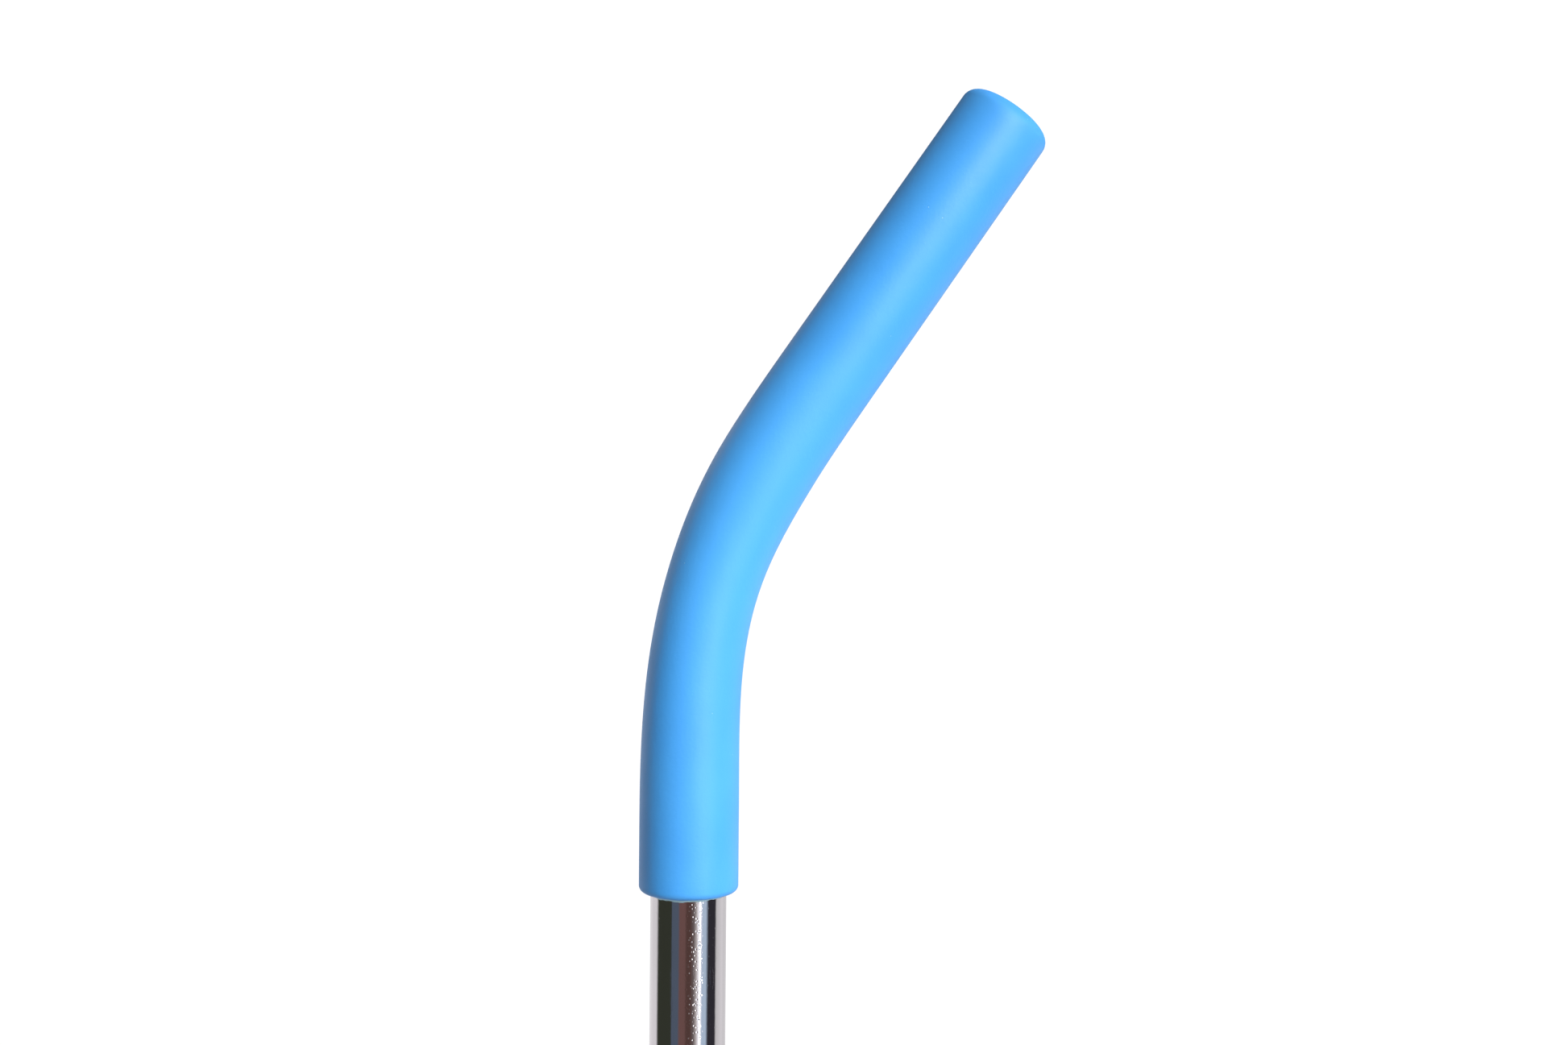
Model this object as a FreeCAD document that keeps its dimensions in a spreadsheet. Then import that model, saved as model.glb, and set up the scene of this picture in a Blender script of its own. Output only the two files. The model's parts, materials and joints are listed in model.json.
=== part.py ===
# A reusable drinking straw: a polished steel tube with a moulded silicone elbow pushed over its upper end.
# Millimetres. The origin is the centre of the tube's lower end.
# +Z runs up the tube, and the elbow leans to +X.
import FreeCAD, Part
import math
import os

import Sketcher
from FreeCAD import Placement, Rotation, Vector

# driving dimensions, in millimetres and degrees
SIZES = (
    # the steel tube; its covered end narrows by lead_in, so that the elbow slides on
    ("tube_radius", 4.0),
    ("tube_wall", 0.5),
    ("tube_length", 215.0),
    ("tube_edge", 0.15),
    ("lead_in", 0.03),
    # the socket that takes the tube; the tube's end stops seat_gap short of the socket's shoulder
    ("socket_depth", 12.0),
    ("socket_gap", 0.02),
    ("seat_gap", 0.03),
    # the outside of the elbow, from its rim to its mouth
    ("rim_radius", 5.25),
    ("neck_radius", 4.94),
    ("spout_radius", 5.27),
    ("mouth_radius", 5.12),
    ("rim_round", 0.65),
    ("rim_inner_round", 0.25),
    ("mouth_round", 1.25),
    ("mouth_inner_round", 0.2),
    # where the outside starts to narrow, is narrowest and is full again, along the centreline from the rim
    ("collar_end", 8.4),
    ("neck_place", 30.9),
    ("neck_end", 46.7),
    # the centreline: a straight socket, a gentle arc, the main arc, a gentle arc and a straight spout
    ("socket_run", 12.0),
    ("gentle_radius", 122.0),
    ("entry_turn", 5.0),
    ("main_radius", 50.0),
    ("main_turn", 24.5),
    ("exit_turn", 5.0),
    ("spout_run", 36.8),
    # the bore's path runs on past the mouth, so that the cut leaves no skin there
    ("overrun", 2.0),
)

# the arcs of the elbow, from the socket to the spout: radius, turn and how many loft sections it gets
ARCS = (
    ("gentle_radius", "entry_turn", 3),
    ("main_radius", "main_turn", 5),
    ("gentle_radius", "exit_turn", 2),
)

# how Sketcher names the points of an edge, and the sketch's own origin and horizontal axis
START, END, CENTRE = 1, 2, 3
SKETCH_ORIGIN, HORIZONTAL_AXIS = -1, -1

# the largest misfit of a round edge's length or centre when edges are looked up
EDGE_MATCH = 0.02


def make_sheet(doc):
    """The spreadsheet of driving dimensions, with the name, value and alias of each on its own row."""
    sheet = doc.addObject("Spreadsheet::Sheet", "Sizes")
    for row, (name, value) in enumerate(SIZES, start=1):
        sheet.set(f"A{row}", name)
        sheet.set(f"B{row}", str(value))
        sheet.setAlias(f"B{row}", name)
    doc.recompute()
    return sheet


# --- sketches -------------------------------------------------------------------------------------


def new_sketch(body, name, role):
    """An empty sketch on one of the body's own origin planes."""
    sketch = body.newObject("Sketcher::SketchObject", name)
    plane = next(feature for feature in body.Origin.OriginFeatures if feature.Role == role)
    sketch.AttachmentSupport = [(plane, "")]
    sketch.MapMode = "FlatFace"
    return sketch


def dimension(sketch, name, expression, kind, *where):
    """A named dimension of the sketch, bound to the sheet; it starts at the size that is drawn."""
    index = sketch.addConstraint(Sketcher.Constraint(kind, *where))
    sketch.renameConstraint(index, name)
    sketch.setExpression(f"Constraints.{name}", expression)


def circle_sketch(body, name, radius):
    """A circle about the origin of the body's XY plane, with its radius given by an expression."""
    sketch = new_sketch(body, name, "XY_Plane")
    circle = sketch.addGeometry(Part.Circle(Vector(0, 0, 0), Vector(0, 0, 1), 1))
    sketch.addConstraint(Sketcher.Constraint("Coincident", circle, CENTRE, SKETCH_ORIGIN, START))
    dimension(sketch, "radius", radius, "Radius", circle, 1)
    return sketch


# --- the elbow's centreline -----------------------------------------------------------------------


class Station:
    """A place on the elbow's centreline, as expressions: where it is, its lean and its run from the rim."""

    def __init__(self, x="0", z="0", lean="0", run="0"):
        self.x, self.z, self.lean, self.run = x, z, lean, run

    def ahead(self, length):
        """The station this far on along a straight run."""
        return Station(
            f"{self.x} + ({length}) * sin({self.lean})",
            f"{self.z} + ({length}) * cos({self.lean})",
            self.lean,
            f"{self.run} + {length}",
        )

    def round(self, radius, turn):
        """The station at the end of an arc that leans further towards +X by this turn."""
        lean = f"{self.lean} + {turn}"
        return Station(
            f"{self.x} + {radius} * (cos({self.lean}) - cos({lean}))",
            f"{self.z} + {radius} * (sin({lean}) - sin({self.lean}))",
            lean,
            f"{self.run} + {radius} * ({turn}) * pi / 180",
        )


def eased(run, start, end):
    """A share that eases from 0 at one place along the centreline to 1 at another."""
    share = f"({run} - Sizes.{start}) / (Sizes.{end} - Sizes.{start})"
    return f"(1 - cos(180 * min(1; max(0; {share})))) / 2"


def outer_radius(run):
    """The elbow's outer radius on the bend: full at the collar, narrow at the neck and full again."""
    narrowing = eased(run, "collar_end", "neck_place")
    widening = eased(run, "neck_place", "neck_end")
    return (
        f"Sizes.rim_radius + (Sizes.neck_radius - Sizes.rim_radius) * {narrowing}"
        f" + (Sizes.spout_radius - Sizes.neck_radius) * {widening}"
    )


def section(body, name, station, radius):
    """A circle square to the centreline at a station."""
    sketch = circle_sketch(body, name, radius)
    sketch.AttachmentOffset = Placement(Vector(0, 0, 0), Rotation(Vector(0, 1, 0), 1))
    sketch.setExpression("AttachmentOffset.Base.x", station.x)
    sketch.setExpression("AttachmentOffset.Base.z", station.z)
    sketch.setExpression("AttachmentOffset.Rotation.Angle", station.lean)
    return sketch


def lean_of(sketch):
    """How far a section's circle is tipped towards +X, in radians."""
    normal = sketch.Placement.Rotation.multVec(Vector(0, 0, 1))
    return math.atan2(normal.x, normal.z)


def draw_arc(sketch, near, radius, turn):
    """An arc of the centreline from a section on. It ends there, because Sketcher's arcs run anticlockwise."""
    lean = lean_of(near)
    centre_x = near.Placement.Base.x + radius * math.cos(lean)
    centre_z = near.Placement.Base.z - radius * math.sin(lean)
    circle = Part.Circle(Vector(centre_x, centre_z, 0), Vector(0, 0, 1), radius)
    start_angle = math.pi - lean - math.radians(turn)
    return sketch.addGeometry(Part.ArcOfCircle(circle, start_angle, math.pi - lean))


def centreline_sketch(body, sheet, knots):
    """The bore's path: up the socket, round the arcs that end at the knots and out along the spout."""
    sketch = new_sketch(body, "bore_path", "XZ_Plane")
    up_socket = sketch.addGeometry(Part.LineSegment(Vector(0, 0, 0), Vector(0, sheet.socket_run, 0)))
    sketch.addConstraint(Sketcher.Constraint("Coincident", up_socket, START, SKETCH_ORIGIN, START))
    sketch.addConstraint(Sketcher.Constraint("Vertical", up_socket))
    dimension(sketch, "socket_run", "Sizes.socket_run", "Distance", up_socket, sheet.socket_run)

    last, last_point = up_socket, END
    for number, ((radius, turn, _), near) in enumerate(zip(ARCS, knots), start=1):
        arc = draw_arc(sketch, near, sheet.get(radius), sheet.get(turn))
        sketch.addConstraint(Sketcher.Constraint("Tangent", last, last_point, arc, END))
        dimension(sketch, f"radius_{number}", f"Sizes.{radius}", "Radius", arc, sheet.get(radius))
        angle = math.radians(sheet.get(turn))
        dimension(sketch, f"turn_{number}", f"Sizes.{turn} * 1 deg", "Angle", arc, angle)
        last, last_point = arc, START

    spout_foot = knots[-1]
    lean, foot = lean_of(spout_foot), spout_foot.Placement.Base
    length = sheet.spout_run + sheet.overrun
    begin = Vector(foot.x, foot.z, 0)
    along = Vector(math.sin(lean), math.cos(lean), 0)
    spout = sketch.addGeometry(Part.LineSegment(begin, begin + along * length))
    sketch.addConstraint(Sketcher.Constraint("Tangent", last, last_point, spout, START))
    dimension(sketch, "spout_run", "Sizes.spout_run + Sizes.overrun", "Distance", spout, length)
    return sketch


# --- features shared by the pieces ----------------------------------------------------------------


def rings(shape, radius, centre):
    """The names of the shape's round edges of this radius about this point."""
    names = []
    for number, edge in enumerate(shape.Edges, start=1):
        right_length = abs(edge.Length - 2 * math.pi * radius) < EDGE_MATCH
        if right_length and (edge.CenterOfMass - centre).Length < EDGE_MATCH:
            names.append(f"Edge{number}")
    if len(names) != 1:
        raise RuntimeError(f"{len(names)} round edges of radius {radius} at {centre}")
    return names


def round_edges(doc, body, name, size, edges):
    """Round named edges of the body so far by a size from the sheet."""
    so_far = body.Tip
    fillet = body.newObject("PartDesign::Fillet", name)
    fillet.Base = (so_far, edges)
    fillet.setExpression("Radius", f"Sizes.{size}")
    doc.recompute()


def expect_volume(name, found, expected, share=0.002):
    """Stop if a feature added or took away a volume that isn't the one its sizes give."""
    if abs(found - expected) > share * expected:
        raise RuntimeError(f"{name}: {found:.2f} mm3, not {expected:.2f} mm3")


# --- the pieces -----------------------------------------------------------------------------------


def make_tube(doc, sheet):
    """The steel tube: a straight revolved wall, open at both ends, with rounded edges."""
    body = doc.addObject("PartDesign::Body", "steel_tube")
    profile = new_sketch(body, "tube_profile", "XZ_Plane")
    inner = sheet.tube_radius - sheet.tube_wall
    covered_from = sheet.tube_length - sheet.socket_depth
    corners = (
        Vector(inner, 0, 0),
        Vector(sheet.tube_radius, 0, 0),
        Vector(sheet.tube_radius, covered_from, 0),
        Vector(sheet.tube_radius - sheet.lead_in, sheet.tube_length, 0),
        Vector(inner, sheet.tube_length, 0),
    )
    for corner, following in zip(corners, corners[1:] + corners[:1]):
        profile.addGeometry(Part.LineSegment(corner, following))
    foot, shank, covered, top, bore = range(len(corners))
    for line, following in zip((foot, shank, covered, top, bore), (shank, covered, top, bore, foot)):
        profile.addConstraint(Sketcher.Constraint("Coincident", line, END, following, START))
    profile.addConstraint(Sketcher.Constraint("PointOnObject", foot, START, HORIZONTAL_AXIS))
    profile.addConstraint(Sketcher.Constraint("Horizontal", foot))
    profile.addConstraint(Sketcher.Constraint("Vertical", shank))
    profile.addConstraint(Sketcher.Constraint("Horizontal", top))
    profile.addConstraint(Sketcher.Constraint("Vertical", bore))
    from_axis = ("DistanceX", SKETCH_ORIGIN, START)
    inner_size = "Sizes.tube_radius - Sizes.tube_wall"
    covered_size = "Sizes.tube_radius - Sizes.lead_in"
    dimension(profile, "inner", inner_size, *from_axis, foot, START, inner)
    dimension(profile, "outer", "Sizes.tube_radius", *from_axis, foot, END, sheet.tube_radius)
    dimension(profile, "covered", covered_size, *from_axis, top, START, sheet.tube_radius - sheet.lead_in)
    exposed_size = "Sizes.tube_length - Sizes.socket_depth"
    dimension(profile, "exposed", exposed_size, "DistanceY", shank, START, shank, END, covered_from)
    dimension(profile, "length", "Sizes.tube_length", "DistanceY", bore, END, bore, START, sheet.tube_length)

    wall = body.newObject("PartDesign::Revolution", "tube_wall_all_round")
    wall.Profile = profile
    wall.ReferenceAxis = (profile, ["V_Axis"])
    wall.Angle = 360
    profile.Visibility = False
    doc.recompute()

    low, high = Vector(0, 0, 0), Vector(0, 0, sheet.tube_length)
    edges = rings(wall.Shape, inner, low) + rings(wall.Shape, sheet.tube_radius, low)
    edges += rings(wall.Shape, inner, high)
    edges += rings(wall.Shape, sheet.tube_radius - sheet.lead_in, high)
    round_edges(doc, body, "tube_edges", "tube_edge", edges)
    return body


def make_tip(doc, sheet):
    """The silicone elbow: a collar, a bend that narrows to a neck, and a tapered spout, bored through."""
    body = doc.addObject("PartDesign::Body", "silicone_tip")
    body.setExpression("Placement.Base.z", "Sizes.tube_length - Sizes.socket_depth + Sizes.seat_gap")

    collar_sketch = circle_sketch(body, "collar_circle", "Sizes.rim_radius")
    collar = body.newObject("PartDesign::Pad", "collar")
    collar.Profile = collar_sketch
    collar.setExpression("Length", "Sizes.collar_end")

    # sections from the collar's end to the foot of the spout
    station = Station().ahead("Sizes.collar_end")
    sections = [section(body, "collar_section", station, outer_radius(station.run))]
    station = Station().ahead("Sizes.socket_run")
    sections.append(section(body, "bend_start", station, outer_radius(station.run)))
    knots = [sections[-1]]
    for number, (radius, turn, count) in enumerate(ARCS, start=1):
        for step in range(1, count + 1):
            on_arc = station.round(f"Sizes.{radius}", f"Sizes.{turn} * {step} / {count}")
            sections.append(section(body, f"arc_{number}_section_{step}", on_arc, outer_radius(on_arc.run)))
        station = station.round(f"Sizes.{radius}", f"Sizes.{turn}")
        knots.append(sections[-1])
    mouth = section(body, "mouth_section", station.ahead("Sizes.spout_run"), "Sizes.mouth_radius")

    bend = body.newObject("PartDesign::AdditiveLoft", "bend")
    bend.Profile = sections[0]
    bend.Sections = sections[1:]
    spout = body.newObject("PartDesign::AdditiveLoft", "spout")
    spout.Profile = sections[-1]
    spout.Sections = [mouth]
    spout.Ruled = True
    doc.recompute()

    rim_centre, mouth_centre = Vector(0, 0, 0), mouth.Placement.Base
    round_edges(doc, body, "rim_edge", "rim_round", rings(body.Tip.Shape, sheet.rim_radius, rim_centre))
    mouth_outer = rings(body.Tip.Shape, sheet.mouth_radius, mouth_centre)
    round_edges(doc, body, "mouth_edge", "mouth_round", mouth_outer)
    solid_volume = body.Tip.Shape.Volume

    # the bore, flush with the tube's, along the whole centreline
    bore_radius = sheet.tube_radius - sheet.tube_wall
    path = centreline_sketch(body, sheet, knots)
    bore_sketch = circle_sketch(body, "bore_circle", "Sizes.tube_radius - Sizes.tube_wall")
    bore = body.newObject("PartDesign::SubtractivePipe", "bore")
    bore.Profile = bore_sketch
    bore.Spine = (path, [f"Edge{number}" for number in range(1, path.GeometryCount + 1)])
    doc.recompute()
    centreline = sum(edge.Length for edge in path.Shape.Edges) - sheet.overrun
    bored = math.pi * bore_radius**2 * centreline
    expect_volume("bore", solid_volume - bore.Shape.Volume, bored)

    # the socket, cut upwards from the rim to its shoulder
    socket_sketch = circle_sketch(body, "socket_circle", "Sizes.tube_radius + Sizes.socket_gap")
    socket = body.newObject("PartDesign::Pocket", "socket")
    socket.Profile = socket_sketch
    socket.Reversed = True
    socket.setExpression("Length", "Sizes.socket_depth")
    doc.recompute()
    socket_radius = sheet.tube_radius + sheet.socket_gap
    widened = math.pi * (socket_radius**2 - bore_radius**2) * sheet.socket_depth
    expect_volume("socket", bore.Shape.Volume - socket.Shape.Volume, widened)

    rim_inner = rings(body.Tip.Shape, socket_radius, rim_centre)
    round_edges(doc, body, "rim_inner_edge", "rim_inner_round", rim_inner)
    mouth_inner = rings(body.Tip.Shape, bore_radius, mouth_centre)
    round_edges(doc, body, "mouth_inner_edge", "mouth_inner_round", mouth_inner)
    return body


# --- the checks and the files ---------------------------------------------------------------------


def check(doc, bodies):
    """Stop unless every object has computed, every sketch is fully constrained and each piece is one solid."""
    for item in doc.Objects:
        if "Invalid" in item.State or "Error" in item.State:
            raise RuntimeError(f"{item.Label} has failed: {item.State}")
        if item.TypeId == "Sketcher::SketchObject" and not item.FullyConstrained:
            raise RuntimeError(f"{item.Label} isn't fully constrained")
    for body in bodies:
        if body.Shape.isNull() or not body.Shape.isValid() or len(body.Shape.Solids) != 1:
            raise RuntimeError(f"{body.Label} isn't one valid solid")


def main():
    doc = FreeCAD.newDocument("straw")
    sheet = make_sheet(doc)
    bodies = [make_tube(doc, sheet), make_tip(doc, sheet)]
    doc.recompute()
    check(doc, bodies)
    os.makedirs("parts", exist_ok=True)
    for body in bodies:
        body.Shape.exportStep(f"parts/{body.Label}.step")
        box = body.Shape.BoundBox
        print(f"{body.Label}: {body.Shape.Volume:.1f} mm3, {box.XMin:.2f} to {box.XMax:.2f},"
              f" {box.YMin:.2f} to {box.YMax:.2f}, {box.ZMin:.2f} to {box.ZMax:.2f}")


main()
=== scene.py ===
import json
import math

import bmesh
import bpy
from mathutils import Matrix, Vector


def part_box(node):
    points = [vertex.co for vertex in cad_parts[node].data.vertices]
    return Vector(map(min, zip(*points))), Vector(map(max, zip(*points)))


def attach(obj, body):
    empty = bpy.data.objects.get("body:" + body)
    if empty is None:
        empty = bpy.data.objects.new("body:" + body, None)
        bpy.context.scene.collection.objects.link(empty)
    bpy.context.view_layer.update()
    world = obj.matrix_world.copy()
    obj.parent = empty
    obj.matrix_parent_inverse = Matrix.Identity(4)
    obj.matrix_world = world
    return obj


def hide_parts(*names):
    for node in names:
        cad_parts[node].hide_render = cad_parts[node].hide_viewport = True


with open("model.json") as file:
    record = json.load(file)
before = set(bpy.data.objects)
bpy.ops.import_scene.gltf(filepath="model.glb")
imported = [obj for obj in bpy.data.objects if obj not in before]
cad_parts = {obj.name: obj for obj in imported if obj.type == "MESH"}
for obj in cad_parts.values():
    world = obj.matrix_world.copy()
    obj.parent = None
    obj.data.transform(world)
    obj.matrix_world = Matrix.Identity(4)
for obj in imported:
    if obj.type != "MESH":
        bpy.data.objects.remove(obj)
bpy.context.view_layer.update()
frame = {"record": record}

MM = 0.001

# --- sizes, from the frame ------------------------------------------------------------------------

MOUNTS = {mount["name"]: mount for mount in frame["record"]["mounts"]}

TUBE_RADIUS = MOUNTS["shank"]["dims"]["r_mm"] * MM
BORE_RADIUS = MOUNTS["tube_bore"]["dims"]["r_mm"] * MM
TUBE_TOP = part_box("steel_tube")[1].z
TUBE_EDGE = 0.3 * (TUBE_RADIUS - BORE_RADIUS)
RIM_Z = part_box("silicone_tip")[0].z

# the elbow's outside
COLLAR_RADIUS = 1.3125 * TUBE_RADIUS
NECK_RADIUS = 0.941 * COLLAR_RADIUS
SPOUT_RADIUS = 1.004 * COLLAR_RADIUS
MOUTH_RADIUS = 0.975 * COLLAR_RADIUS
RIM_ROUND = 0.65 * MM
MOUTH_ROUND = 1.25 * MM
MOUTH_INNER_ROUND = 0.2 * MM
SHOULDER_ROUND = 0.1 * MM

# the feather of moulding flash that hangs from the rim's inner edge, close round the tube: how far it hangs,
# and how thick it is at its root, halfway down and at its tip, which stands off by a hair
FLASH_HANG = 0.38 * MM
FLASH_ROOT = 0.14 * MM
FLASH_MIDDLE = 0.7 * FLASH_ROOT
FLASH_TIP = 0.05 * MM
FLASH_HAIR = 0.01 * MM

# how ragged the flash is: the mean share of its hang, and waves round the rim as depth, number and phase
FLASH_MEAN = 0.78
FLASH_WAVES = ((0.1, 3, 0.6), (0.1, 11, 2), (0.05, 29, 0))

# the socket, which stands just clear of the tube and of its end
SOCKET_GAP = 0.02 * MM
SEAT_GAP = 0.03 * MM
SOCKET_RADIUS = TUBE_RADIUS + SOCKET_GAP
SOCKET_DEPTH = TUBE_TOP + SEAT_GAP - RIM_Z

# the elbow's centreline: where the spout's line meets the tube's, and how far on from there the mouth is
MOUTH_AXIS = Vector(MOUNTS["mouth_bore"]["axis"]).normalized()
MOUTH = Vector(MOUNTS["mouth_bore"]["pos_m"]) + MOUTH_AXIS * MOUTH_INNER_ROUND
LEAN = math.atan2(MOUTH_AXIS.x, MOUTH_AXIS.z)
KNEE_Z = MOUTH.z - MOUTH.x / math.tan(LEAN)
KNEE_TO_MOUTH = MOUTH.x / math.sin(LEAN)
BEND_LENGTH = 14.03 * TUBE_RADIUS

# where the outside starts to narrow, is narrowest and is full again, along the centreline from the rim
NARROWING_FROM = 2.1 * TUBE_RADIUS
NECK_AT = 7.72 * TUBE_RADIUS
FULL_FROM = 11.68 * TUBE_RADIUS

# mesh fineness
ROUND_SEGMENTS = 144
FILLET_STEPS = 8
STEP = 1.0 * MM


# --- the centreline -------------------------------------------------------------------------------


def bend_angle(share):
    """How far the centreline leans at a share of the bend. Its curvature swells and dies away smoothly."""
    share = min(1.0, max(0.0, share))
    return LEAN * (share - math.sin(2 * math.pi * share) / (2 * math.pi))


def bend_points(count=600):
    """The bend on its own, from the origin: x, z and lean at even steps along it."""
    x = z = 0.0
    points = [(x, z, 0.0)]
    step = BEND_LENGTH / count
    for number in range(count):
        middle = bend_angle((number + 0.5) / count)
        x += step * math.sin(middle)
        z += step * math.cos(middle)
        points.append((x, z, bend_angle((number + 1) / count)))
    return points


BEND = bend_points()
TANGENT = BEND[-1][1] - BEND[-1][0] / math.tan(LEAN)
BEND_FROM = KNEE_Z - TANGENT - RIM_Z
SPOUT_RUN = KNEE_TO_MOUTH - TANGENT
TIP_RUN = BEND_FROM + BEND_LENGTH + SPOUT_RUN


def elbow_place(run):
    """The elbow's centreline at a run from its rim: the point, and the direction across it in plane XZ."""
    if run <= BEND_FROM:
        x, z, lean = 0.0, run, 0.0
    else:
        along = min(run - BEND_FROM, BEND_LENGTH) / BEND_LENGTH * (len(BEND) - 1)
        index = min(int(along), len(BEND) - 2)
        low, high = BEND[index], BEND[index + 1]
        x, z, lean = (a + (b - a) * (along - index) for a, b in zip(low, high))
        beyond = max(0.0, run - BEND_FROM - BEND_LENGTH)
        x += beyond * math.sin(lean)
        z += BEND_FROM + beyond * math.cos(lean)
    return Vector((x, 0, RIM_Z + z)), Vector((math.cos(lean), 0, -math.sin(lean)))


def straight_place(run):
    """The centreline of the tube."""
    return Vector((0, 0, run)), Vector((1, 0, 0))


# --- profiles, as (run along the centreline, radius) in metres ------------------------------------


def eased(value, start, end):
    share = min(1.0, max(0.0, (value - start) / (end - start)))
    return (1 - math.cos(math.pi * share)) / 2


def outer_radius(run):
    """The elbow's outside: full at the collar, narrow at the neck, full again, then tapering to the mouth."""
    radius = COLLAR_RADIUS
    radius += (NECK_RADIUS - COLLAR_RADIUS) * eased(run, NARROWING_FROM, NECK_AT)
    radius += (SPOUT_RADIUS - NECK_RADIUS) * eased(run, NECK_AT, FULL_FROM)
    taper = min(1.0, max(0.0, (run - FULL_FROM) / (TIP_RUN - FULL_FROM)))
    return radius + (MOUTH_RADIUS - SPOUT_RADIUS) * taper


def fillet(run, radius, size, start, end):
    """A quarter round about a centre, from one angle to another, in degrees from the run's own direction."""
    turn = (end - start) / FILLET_STEPS
    angles = (math.radians(start + turn * step) for step in range(FILLET_STEPS + 1))
    return [(run + size * math.cos(angle), radius + size * math.sin(angle)) for angle in angles]


def even_runs(start, end, step=STEP):
    """Runs between two ends at about even steps, without the ends."""
    count = max(2, round(abs(end - start) / step))
    return [start + (end - start) * number / count for number in range(1, count)]


def tip_profile():
    """Once round the elbow's wall: rim, outside, mouth, bore, shoulder, socket and flash."""
    rim_outer = fillet(RIM_ROUND, COLLAR_RADIUS - RIM_ROUND, RIM_ROUND, 180, 90)
    skin = [(run, outer_radius(run)) for run in even_runs(RIM_ROUND, TIP_RUN - MOUTH_ROUND)]
    mouth_outer = fillet(TIP_RUN - MOUTH_ROUND, MOUTH_RADIUS - MOUTH_ROUND, MOUTH_ROUND, 90, 0)
    inner_centre = BORE_RADIUS + MOUTH_INNER_ROUND
    mouth_inner = fillet(TIP_RUN - MOUTH_INNER_ROUND, inner_centre, MOUTH_INNER_ROUND, 0, -90)
    bore_end = SOCKET_DEPTH + SHOULDER_ROUND
    bore = [(run, BORE_RADIUS) for run in even_runs(TIP_RUN - MOUTH_INNER_ROUND, bore_end)]
    shoulder = fillet(bore_end, BORE_RADIUS + SHOULDER_ROUND, SHOULDER_ROUND, -90, -180)
    socket = [(SOCKET_DEPTH, SOCKET_RADIUS)]
    socket += [(run, SOCKET_RADIUS) for run in even_runs(SOCKET_DEPTH, 0.0)]
    flash_inside = [(0.0, 0.0), (-0.5, 0.0), (-1.0, FLASH_HAIR)]
    flash_outside = [(-1.0, FLASH_TIP), (-0.5, FLASH_MIDDLE), (0.0, FLASH_ROOT)]
    flash = [(share * FLASH_HANG, SOCKET_RADIUS + off) for share, off in flash_inside + flash_outside]
    return rim_outer + skin + mouth_outer + mouth_inner + bore + shoulder + socket + flash


def tube_profile():
    """Once round the tube's wall: foot, outside, top and bore."""
    outer, inner, edge = TUBE_RADIUS - TUBE_EDGE, BORE_RADIUS + TUBE_EDGE, TUBE_EDGE
    runs = even_runs(edge, TUBE_TOP - edge, 5 * STEP)
    profile = fillet(edge, outer, edge, 180, 90) + [(run, TUBE_RADIUS) for run in runs]
    profile += fillet(TUBE_TOP - edge, outer, edge, 90, 0) + fillet(TUBE_TOP - edge, inner, edge, 0, -90)
    profile += [(run, BORE_RADIUS) for run in reversed(runs)] + fillet(edge, inner, edge, -90, -180)
    return profile


def raggedness(angle):
    """How much of its full hang the flash has at an angle round the rim: uneven, as if torn."""
    share = FLASH_MEAN
    for depth, waves, phase in FLASH_WAVES:
        share += depth * math.sin(waves * angle + phase)
    return share


def swept(name, profile, place):
    """A smooth closed mesh: the profile carried round the centreline. Only the flash has runs below 0."""
    rings = len(profile)
    vertices = []
    for run, radius in profile:
        for number in range(ROUND_SEGMENTS):
            angle = 2 * math.pi * number / ROUND_SEGMENTS
            centre, across = place(run if run >= 0 else run * raggedness(angle))
            outward = math.cos(angle) * across + math.sin(angle) * Vector((0, 1, 0))
            vertices.append(centre + radius * outward)
    faces = []
    for ring in range(rings):
        here, there = ring * ROUND_SEGMENTS, (ring + 1) % rings * ROUND_SEGMENTS
        for number in range(ROUND_SEGMENTS):
            following = (number + 1) % ROUND_SEGMENTS
            faces.append((here + number, here + following, there + following, there + number))
    mesh = bpy.data.meshes.new(name)
    mesh.from_pydata(vertices, [], faces)
    mesh.validate()
    mesh.shade_smooth()
    piece = bpy.data.objects.new(name, mesh)
    bpy.context.scene.collection.objects.link(piece)
    return piece


# --- materials ------------------------------------------------------------------------------------

# colours of the silicone, of painted shade on it, of its flash and dust, and of the steel
BLUE = (0.064, 0.39, 0.90)
DEEP_BLUE = (0.058, 0.367, 0.88)
# a paler blue, laid over the bend
BEND_PALE_BLUE = (0.072, 0.415, 0.94)
# a darker blue: painted shade at the rim's rounding and at the lip, and the same blue darkens the spout
# towards the mouth
EDGE_SHADE_BLUE = (0.054, 0.33, 0.80)
FLASH_BLUE = (0.45, 0.72, 0.80)
DUST_WHITE = (0.45, 0.75, 0.95)
DUST_DARK = (0.03, 0.2, 0.5)
STEEL_BRIGHT = (0.62, 0.605, 0.615)
STEEL_WORN = (0.57, 0.56, 0.565)

# about how wide the patches of mottling, of handling and of unevenness are
MOTTLE_SIZE = 6 * MM
HANDLED_SIZE = 9 * MM
SMUDGE_SIZE = 11 * MM
FINE_SIZE = 0.4 * MM
WAVE_SIZE = 2.5 * MM
BUFFED_SIZE = 0.5 * MM

# small round marks, as how far apart they are and how large their radius is
PALE_DUST = (3.2 * MM, 0.08 * MM)
DARK_DUST = (2.7 * MM, 0.07 * MM)
GRAINS = (0.6 * MM, 0.11 * MM)
PITS = (0.5 * MM, 0.1 * MM)
RUBBED_PITS = (0.34 * MM, 0.13 * MM)

# marks drawn out along the tube, as their sizes across it and lengthways
DRAWN_LINES = (0.25 * MM, 60 * MM)
HAIRLINES = (1.2 * MM, 9 * MM)

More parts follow.
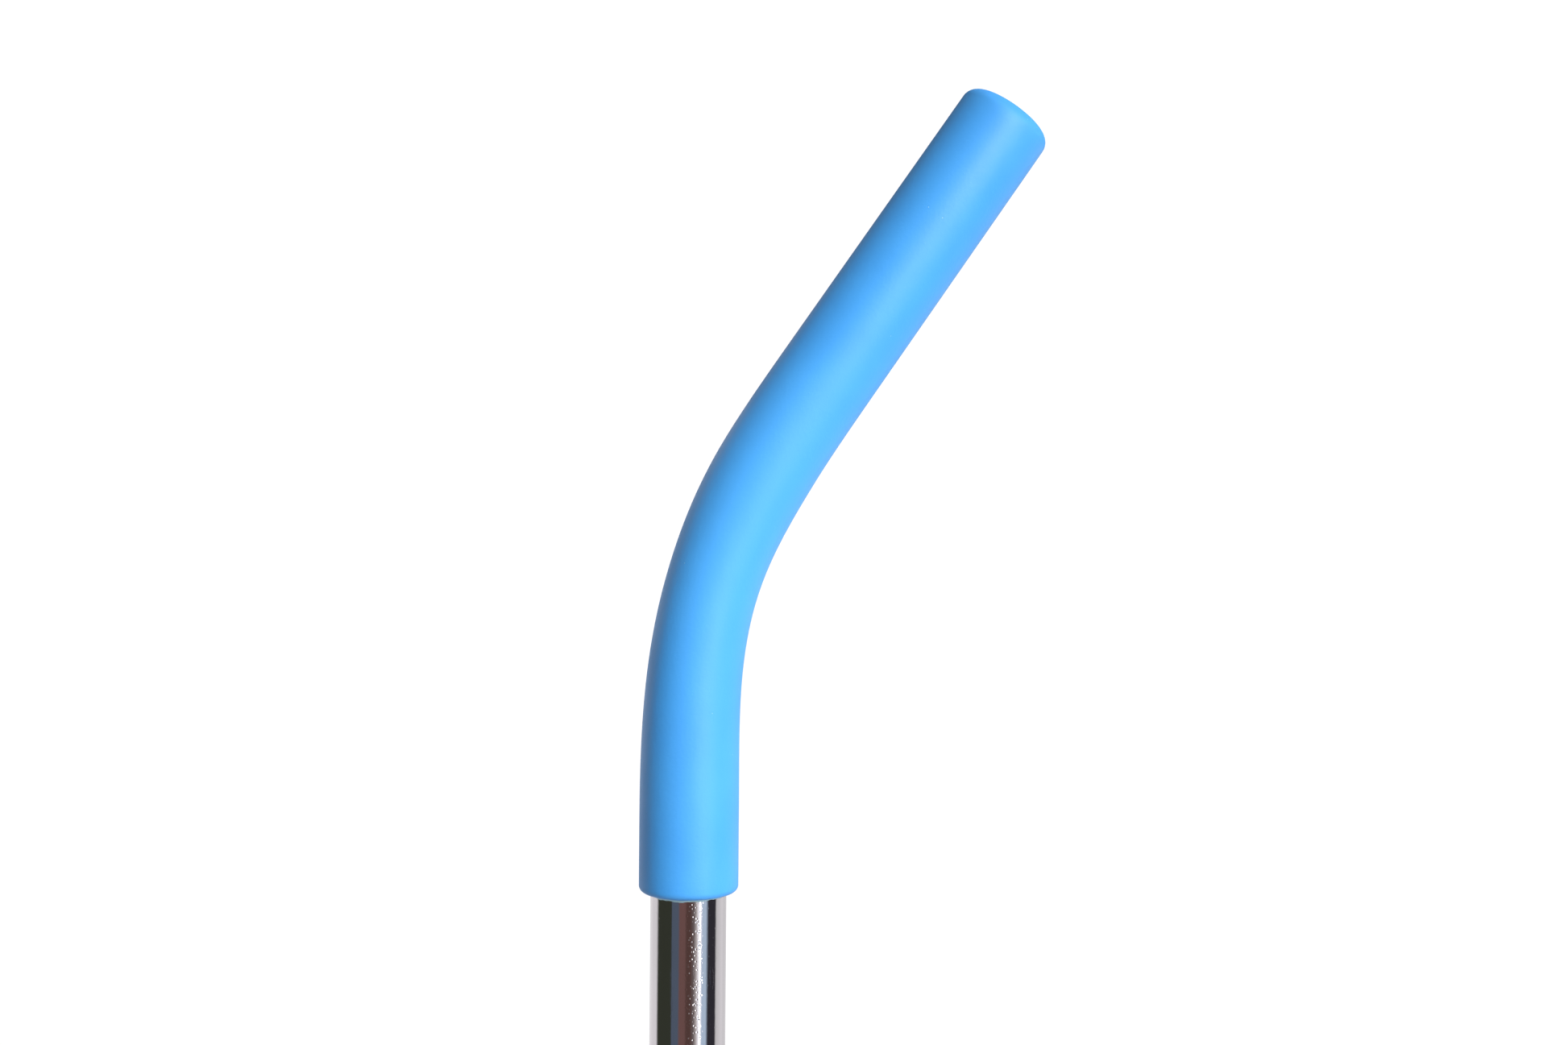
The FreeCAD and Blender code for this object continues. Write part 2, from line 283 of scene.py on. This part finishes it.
# how far the relief stands out of the silicone
FINE_HEIGHT = 0.014 * MM
WAVE_HEIGHT = 0.02 * MM
GRAIN_HEIGHT = 0.006 * MM
DUST_HEIGHT = 0.03 * MM
PARTING_HEIGHT = 0.018 * MM
PARTING_HALF_WIDTH = 0.12 * MM

# how far the relief stands out of the steel, and how deep its pits and scratches are
DRAWN_HEIGHT = 0.0006 * MM
BUFFED_HEIGHT = 0.002 * MM
PIT_DEPTH = 0.003 * MM
RUBBED_PIT_DEPTH = 0.02 * MM
SCRATCH_DEPTH = 0.001 * MM


class Nodes:
    """A short way to write a node material. Sizes are in metres, in the piece's own coordinates."""

    def __init__(self, name):
        self.material = bpy.data.materials.new(name)
        self.material.use_nodes = True
        self.tree = self.material.node_tree
        self.shader = self.tree.nodes["Principled BSDF"]
        self.here = self.add("TexCoord").outputs["Object"]
        self.relief = None

    def add(self, kind, inputs=None, **settings):
        node = self.tree.nodes.new("ShaderNode" + kind)
        for key, value in settings.items():
            setattr(node, key, value)
        for key, value in (inputs or {}).items():
            if isinstance(value, bpy.types.NodeSocket):
                self.tree.links.new(value, node.inputs[key])
            else:
                node.inputs[key].default_value = value
        return node

    def set(self, **values):
        for key, value in values.items():
            self.shader.inputs[key.replace("_", " ")].default_value = value

    def link(self, output, key):
        self.tree.links.new(output, self.shader.inputs[key])

    def math(self, operation, first, second=0.0):
        return self.add("Math", {0: first, 1: second}, operation=operation).outputs[0]

    def along(self, axis, origin=(0, 0, 0)):
        """How far the place lies from a point along an axis."""
        offset = self.add("VectorMath", {0: self.here, 1: origin}, operation="SUBTRACT").outputs[0]
        return self.add("VectorMath", {0: offset, 1: axis}, operation="DOT_PRODUCT").outputs["Value"]

    def drawn(self, across, lengthways):
        """The place in these sizes across the tube and along it, so that noise of size 1 comes out drawn."""
        sizes = (1 / across, 1 / across, 1 / lengthways)
        return self.add("VectorMath", {0: self.here, 1: sizes}, operation="MULTIPLY").outputs[0]

    def noise(self, size, detail=2.0, where=None):
        """Noise, from 0 to 1, whose patches are about this size."""
        inputs = {"Vector": where or self.here, "Scale": 1 / size, "Detail": detail}
        return self.add("TexNoise", inputs).outputs["Fac"]

    def ranged(self, value, low, high, to_low=0.0, to_high=1.0):
        inputs = {"Value": value, "From Min": low, "From Max": high, "To Min": to_low, "To Max": to_high}
        return self.add("MapRange", inputs, interpolation_type="SMOOTHSTEP").outputs["Result"]

    def spots(self, spacing, radius):
        """A mask of small round spots: random points in space, where the surface passes within a radius."""
        points = self.add("TexVoronoi", {"Vector": self.here, "Scale": 1 / spacing})
        return self.ranged(points.outputs["Distance"], 0.0, radius / spacing, 1.0, 0.0)

    def mixed(self, share, first, second):
        """The first colour turning into the second by a share."""
        ramp = self.add("Mix", data_type="RGBA")
        for key, value in (("Factor_Float", share), ("A_Color", first), ("B_Color", second)):
            socket = next(each for each in ramp.inputs if each.identifier == key)
            if isinstance(value, bpy.types.NodeSocket):
                self.tree.links.new(value, socket)
            else:
                socket.default_value = value if key == "Factor_Float" else (*value, 1)
        return next(each for each in ramp.outputs if each.identifier == "Result_Color")

    def raised(self, mask, height):
        """Raise the surface by a height where the mask is 1."""
        step = self.math("MULTIPLY", mask, height)
        self.relief = step if self.relief is None else self.math("ADD", self.relief, step)

    def finished(self):
        """Link the relief that was raised and hand over the material."""
        self.link(self.add("Bump", {"Height": self.relief, "Distance": 1.0}).outputs["Normal"], "Normal")
        return self.material


def silicone():
    """Matt blue silicone: faintly mottled and paler over the bend, with painted shade at the rim and the lip,
    darker towards the mouth, and with a fine grain, a few dust specks, a parting line and pale flash."""
    nodes = Nodes("blue_silicone_matt")
    mottle = nodes.ranged(nodes.noise(MOTTLE_SIZE, 4.0), 0.3, 0.7)
    colour = nodes.mixed(mottle, DEEP_BLUE, BLUE)
    up = nodes.along((0, 0, 1), (0, 0, RIM_Z))
    # the silicone is paler over the bend
    towards_neck = nodes.ranged(up, 2 * NARROWING_FROM, 1.2 * NECK_AT)
    past_neck = nodes.ranged(up, 1.2 * NECK_AT, 1.4 * FULL_FROM, 1.0, 0.0)
    colour = nodes.mixed(nodes.math("MULTIPLY", towards_neck, past_neck), colour, BEND_PALE_BLUE)
    from_mouth = nodes.along(tuple(MOUTH_AXIS), tuple(MOUTH))
    # the lip: painted shade in its colour, and a matter surface in its roughness
    lip_shade_and_matt = nodes.ranged(from_mouth, -1.3 * MOUTH_ROUND, -0.4 * MOUTH_ROUND)
    # painted shade along the rim's lower rounding
    rim_shade = nodes.ranged(up, 0.3 * RIM_ROUND, 1.4 * RIM_ROUND, 1.0, 0.0)
    # the spout grows darker towards the mouth
    towards_mouth = nodes.ranged(from_mouth, -9 * TUBE_RADIUS, 0.0, 0.0, 0.45)
    darkened = nodes.math("MAXIMUM", towards_mouth, nodes.math("MAXIMUM", rim_shade, lip_shade_and_matt))
    colour = nodes.mixed(darkened, colour, EDGE_SHADE_BLUE)
    on_flash = nodes.ranged(up, -0.1 * MM, -0.02 * MM, 1.0, 0.0)
    colour = nodes.mixed(on_flash, colour, FLASH_BLUE)
    pale_specks = nodes.spots(*PALE_DUST)
    dark_specks = nodes.spots(*DARK_DUST)
    colour = nodes.mixed(nodes.math("MULTIPLY", dark_specks, 0.6), colour, DUST_DARK)
    colour = nodes.mixed(pale_specks, colour, DUST_WHITE)
    nodes.link(colour, "Base Color")

    grains = nodes.spots(*GRAINS)
    handled = nodes.ranged(nodes.noise(HANDLED_SIZE, 3.0), 0.35, 0.65, 0.46, 0.53)
    duller_mouth = nodes.math("MULTIPLY", lip_shade_and_matt, 0.3)
    shinier_grains = nodes.math("MULTIPLY", grains, -0.16)
    nodes.link(nodes.math("ADD", handled, nodes.math("ADD", duller_mouth, shinier_grains)), "Roughness")
    nodes.set(Specular_IOR_Level=0.62)

    nodes.raised(nodes.noise(FINE_SIZE, 2.0), FINE_HEIGHT)
    nodes.raised(nodes.noise(WAVE_SIZE, 2.0), WAVE_HEIGHT)
    nodes.raised(grains, GRAIN_HEIGHT)
    nodes.raised(pale_specks, DUST_HEIGHT)
    off_parting = nodes.math("ABSOLUTE", nodes.along((0, 1, 0)))
    nodes.raised(nodes.ranged(off_parting, 0.02 * MM, PARTING_HALF_WIDTH, 1.0, 0.0), PARTING_HEIGHT)
    return nodes.finished()


def steel():
    """Polished stainless steel: faint drawn lines, tiny pits, a rubbed strip where the pits are deeper, a few
    hairline scratches and handling smudges."""
    nodes = Nodes("steel_mirror_polish")
    nodes.set(Metallic=1.0)

    drawn_lines = nodes.noise(1.0, 3.0, nodes.drawn(*DRAWN_LINES))
    smudge = nodes.ranged(nodes.noise(SMUDGE_SIZE, 4.0), 0.45, 0.75)
    pits = nodes.spots(*PITS)

    # the rubbed strip runs up the front (-Y) of the tube, from its middle to nearly halfway out
    sideways = nodes.along((1, 0, 0))
    onto_strip = nodes.ranged(sideways, -0.05 * TUBE_RADIUS, 0.12 * TUBE_RADIUS)
    off_strip = nodes.ranged(sideways, 0.34 * TUBE_RADIUS, 0.48 * TUBE_RADIUS, 1.0, 0.0)
    front = nodes.ranged(nodes.along((0, 1, 0)), -0.6 * TUBE_RADIUS, -0.5 * TUBE_RADIUS, 1.0, 0.0)
    rubbed = nodes.math("MULTIPLY", front, nodes.math("MULTIPLY", onto_strip, off_strip))
    rubbed_pits = nodes.math("MULTIPLY", rubbed, nodes.spots(*RUBBED_PITS))
    worn = nodes.math("MULTIPLY", nodes.math("ADD", smudge, nodes.ranged(drawn_lines, 0.5, 0.8)), 0.5)
    nodes.link(nodes.mixed(worn, STEEL_BRIGHT, STEEL_WORN), "Base Color")

    duller_pits = nodes.math("MULTIPLY", pits, 0.15)
    nodes.link(nodes.math("ADD", nodes.ranged(smudge, 0.0, 1.0, 0.065, 0.105), duller_pits), "Roughness")

    # a hairline runs where the drawn-out noise crosses one level
    level = nodes.math("SUBTRACT", nodes.noise(1.0, 1.0, nodes.drawn(*HAIRLINES)), 0.36)
    scratch = nodes.ranged(nodes.math("ABSOLUTE", level), 0.0, 0.004, 1.0, 0.0)
    nodes.raised(drawn_lines, DRAWN_HEIGHT)
    nodes.raised(pits, -PIT_DEPTH)
    nodes.raised(rubbed_pits, -RUBBED_PIT_DEPTH)
    nodes.raised(nodes.noise(BUFFED_SIZE, 1.0), BUFFED_HEIGHT)
    nodes.raised(scratch, -SCRATCH_DEPTH)
    return nodes.finished()


# --- pieces ---------------------------------------------------------------------------------------


def add_piece(name, profile, place, body, node, material):
    """Sweep a piece, give it its material, and let it ride on a body in place of a CAD node."""
    piece = swept(name, profile, place)
    piece.data.materials.append(material)
    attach(piece, body)
    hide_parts(node)


add_piece("polished_tube", tube_profile(), straight_place, "tube", "steel_tube", steel())
add_piece("elbow_tip", tip_profile(), elbow_place, "tip", "silicone_tip", silicone())


# --- studio ---------------------------------------------------------------------------------------

# what stands round the straw, as light per azimuth: degrees from the camera's side (-Y) towards +X
OLIVE_CLOTH = (0.046, 0.051, 0.037)
BLUE_WALL = (0.109, 0.140, 0.200)
RED_CHAIR = (0.208, 0.108, 0.100)
BROWN_DOOR = (0.122, 0.066, 0.058)
DOOR_EDGE = (0.19, 0.15, 0.15)
WINDOW_SIDE = (0.72, 0.66, 0.65)
WINDOW = (1.4, 1.4, 1.5)
SUN = (14.0, 14.0, 14.0)
SKY = (0.60, 0.745, 0.94)
SHADOW = (0.040, 0.037, 0.048)
PAPER_SHADE = (0.80, 0.78, 0.79)
PAPER = (0.97, 0.94, 0.97)
FAR_PAPER = (0.82, 0.80, 0.82)
GAP = (0.22, 0.22, 0.24)
SURROUNDINGS = (
    (-168, GAP),
    (-162, PAPER),
    (-107, PAPER),
    (-98, OLIVE_CLOTH),
    (-49, OLIVE_CLOTH),
    (-46, BLUE_WALL),
    (-27, BLUE_WALL),
    (-22, RED_CHAIR),
    (-7, RED_CHAIR),
    (-1, BROWN_DOOR),
    (10, BROWN_DOOR),
    (20, DOOR_EDGE),
    (29, WINDOW_SIDE),
    (36, WINDOW),
    (38.2, WINDOW),
    (38.5, SUN),
    (39.3, SUN),
    (39.6, WINDOW),
    (42, WINDOW),
    (46, SKY),
    (58, SKY),
    (66, SHADOW),
    (92, SHADOW),
    (98, PAPER_SHADE),
    (125, PAPER),
    (145, FAR_PAPER),
    (176, FAR_PAPER),
    (183, GAP),
    (192, GAP),
)
RING_RADIUS = 0.42
RING_HEIGHT = 0.45
FLOOR_BANDS_FROM = 3 * TUBE_RADIUS
FLOOR_BANDS_HEIGHT = 0.5 * MM
DOME_RADIUS = 3.0
FLOOR_RADIUS = 0.6
KEY_WATTS = 84.5
KEY_SIZE = (0.8, 1.0)
KEY_AZIMUTH = 36
KEY_DISTANCE = 2.4
KEY_HEIGHT = 1.35
ROOM_COLOUR = (0.78, 0.97, 1.0, 1)
ROOM_STRENGTH = 0.285


def on_ring(azimuth, radius, height):
    """A point at an azimuth in degrees from -Y towards +X, this far out and this high."""
    angle = math.radians(azimuth)
    return Vector((radius * math.sin(angle), -radius * math.cos(angle), height))


def stage_mesh(name, vertices, faces, material):
    """A mesh of the studio, which isn't part of the straw."""
    mesh = bpy.data.meshes.new(name)
    mesh.from_pydata(vertices, [], faces)
    mesh.materials.append(material)
    item = bpy.data.objects.new(name, mesh)
    bpy.context.scene.collection.objects.link(item)
    return item


def glowing(name, strength):
    """A surface that gives light and reflects none."""
    nodes = Nodes(name)
    nodes.set(Base_Color=(0, 0, 0, 1), Roughness=1.0, Specular_IOR_Level=0.0)
    nodes.set(Emission_Color=(1, 1, 1, 1), Emission_Strength=strength)
    return nodes


def banded(name, first, second):
    """Soft bands of light and dark between two circles, each a radius and a height, unseen by the camera."""
    nodes = glowing(name, 1.0)
    nodes.link(nodes.add("VertexColor", layer_name="light").outputs["Color"], "Emission Color")
    vertices, faces = [], []
    for azimuth, _ in SURROUNDINGS:
        vertices += [on_ring(azimuth, *first), on_ring(azimuth, *second)]
    stops = len(SURROUNDINGS)
    for number in range(stops):
        here, there = 2 * number, 2 * ((number + 1) % stops)
        faces.append((here, here + 1, there + 1, there))
    item = stage_mesh(name, vertices, faces, nodes.material)
    light = item.data.color_attributes.new("light", "FLOAT_COLOR", "POINT")
    for number, (_, colour) in enumerate(SURROUNDINGS):
        light.data[2 * number].color = light.data[2 * number + 1].color = (*colour, 1)
    item.visible_camera = False
    item.visible_shadow = False
    return item


def surroundings():
    """What the metal reflects: bands standing in a ring round the straw, and the same bands on the floor."""
    banded("surroundings", (RING_RADIUS, 0.0), (RING_RADIUS, RING_HEIGHT))
    near, far = (FLOOR_BANDS_FROM, FLOOR_BANDS_HEIGHT), (RING_RADIUS, FLOOR_BANDS_HEIGHT)
    lying = banded("floor_bands", near, far)
    lying.visible_diffuse = False


def dome():
    """The white background, which only the camera sees."""
    shell = stage_mesh("white_surround", [], [], glowing("white_surround", 1.05).material)
    build = bmesh.new()
    bmesh.ops.create_uvsphere(build, u_segments=48, v_segments=24, radius=DOME_RADIUS)
    build.to_mesh(shell.data)
    build.free()
    shell.visible_diffuse = False
    shell.visible_glossy = False
    shell.visible_transmission = False
    shell.visible_shadow = False


def floor():
    """A pale floor that fades out into the white background."""
    nodes = Nodes("pale_floor")
    nodes.set(Base_Color=(0.76, 0.76, 0.76, 1), Roughness=0.7, Specular_IOR_Level=0.0)
    from_middle = nodes.add("VectorMath", {0: nodes.here}, operation="LENGTH").outputs["Value"]
    nodes.link(nodes.ranged(from_middle, 0.1 * FLOOR_RADIUS, 0.95 * FLOOR_RADIUS, 1.0, 0.0), "Alpha")
    nodes.raised(nodes.noise(1.5 * MM), 0.01 * MM)
    rim = [on_ring(azimuth, FLOOR_RADIUS, 0.0) for azimuth in range(0, 360, 5)]
    stage_mesh("pale_floor", rim, [tuple(range(len(rim)))], nodes.finished())


def key_light():
    """A large soft light from the front right, aimed at the elbow's rim."""
    lamp = bpy.data.lights.new("soft_key", "AREA")
    lamp.shape = "RECTANGLE"
    lamp.size, lamp.size_y = KEY_SIZE
    lamp.energy = KEY_WATTS
    key = bpy.data.objects.new("soft_key", lamp)
    bpy.context.scene.collection.objects.link(key)
    key.location = on_ring(KEY_AZIMUTH, KEY_DISTANCE, KEY_HEIGHT)
    key.rotation_euler = (Vector((0, 0, RIM_Z)) - key.location).to_track_quat("-Z", "Y").to_euler()


def dim_room():
    """A faint cool light from all round."""
    world = bpy.data.worlds.new("dim_room")
    bpy.context.scene.world = world
    world.use_nodes = True
    background = world.node_tree.nodes["Background"]
    background.inputs["Color"].default_value = ROOM_COLOUR
    background.inputs["Strength"].default_value = ROOM_STRENGTH


surroundings()
dome()
floor()
key_light()
dim_room()

# --- camera ---------------------------------------------------------------------------------------

CAMERA_DISTANCE = 42.56 * TUBE_RADIUS
CAMERA_ASIDE = 2.44 * TUBE_RADIUS
CAMERA_ABOVE_RIM = 9.735 * TUBE_RADIUS
CAMERA_ROLL = 0.467  # degrees
LENS = 37.0  # millimetres
SENSOR_WIDTH = 36.0  # millimetres

data = bpy.data.cameras.new("camera")
data.lens = LENS
data.sensor_width = SENSOR_WIDTH
data.clip_start = 0.01
camera = bpy.data.objects.new("camera", data)
bpy.context.scene.collection.objects.link(camera)
upright = Matrix.Rotation(math.radians(90), 4, "X")
rolled = Matrix.Rotation(math.radians(CAMERA_ROLL), 4, "Z")
stand = Matrix.Translation((CAMERA_ASIDE, -CAMERA_DISTANCE, RIM_Z + CAMERA_ABOVE_RIM))
camera.matrix_world = stand @ upright @ rolled
bpy.context.scene.camera = camera
bpy.context.scene.view_settings.view_transform = "Standard"
